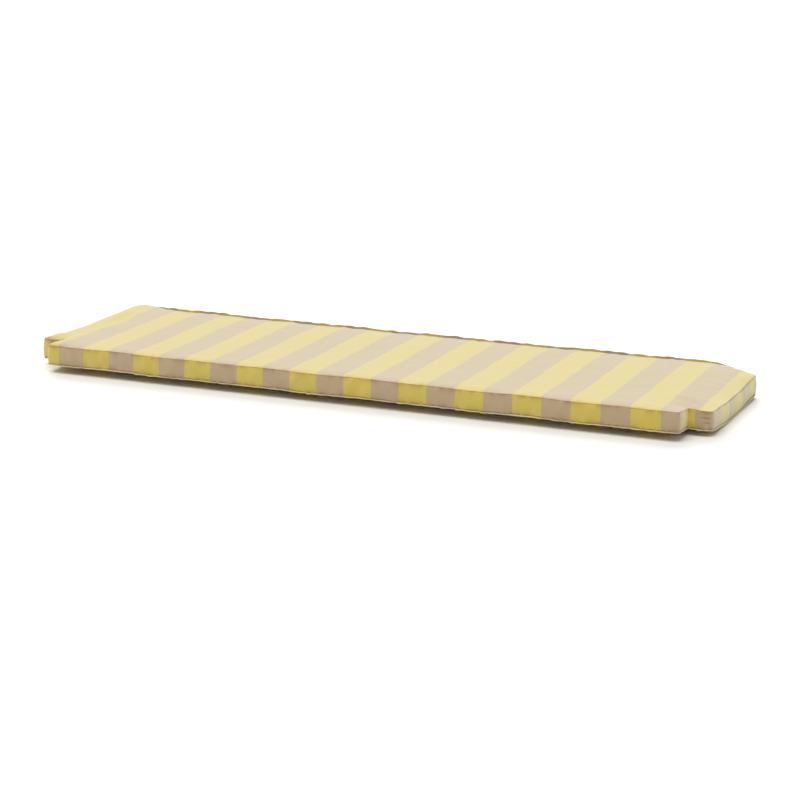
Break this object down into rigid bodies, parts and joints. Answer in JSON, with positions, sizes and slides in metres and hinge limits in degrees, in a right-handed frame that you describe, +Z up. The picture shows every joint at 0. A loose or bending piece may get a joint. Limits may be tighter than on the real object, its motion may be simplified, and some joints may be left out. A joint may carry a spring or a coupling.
{
  "type": "bench cushion",
  "caption": "Boxed seat cushion for a garden bench, cut away at its front corners to fit around the arm posts, with a low crown and wide yellow and sand stripes.",
  "frame": {"origin": "middle of the cushion's box on the surface that it lies on", "axes": "+X along the cushion towards its right end, +Y from its front edge to its back edge, +Z up through the top panel"},
  "size_m": [1.5856, 0.504, 0.0748],
  "materials": {
    "cover_cloth": "matt woven canvas in wide even stripes of pale yellow and sand, run from front to back"
  },
  "bodies": {
    "root": {"cushion": "cover_cloth"}
  },
  "joints": []
}
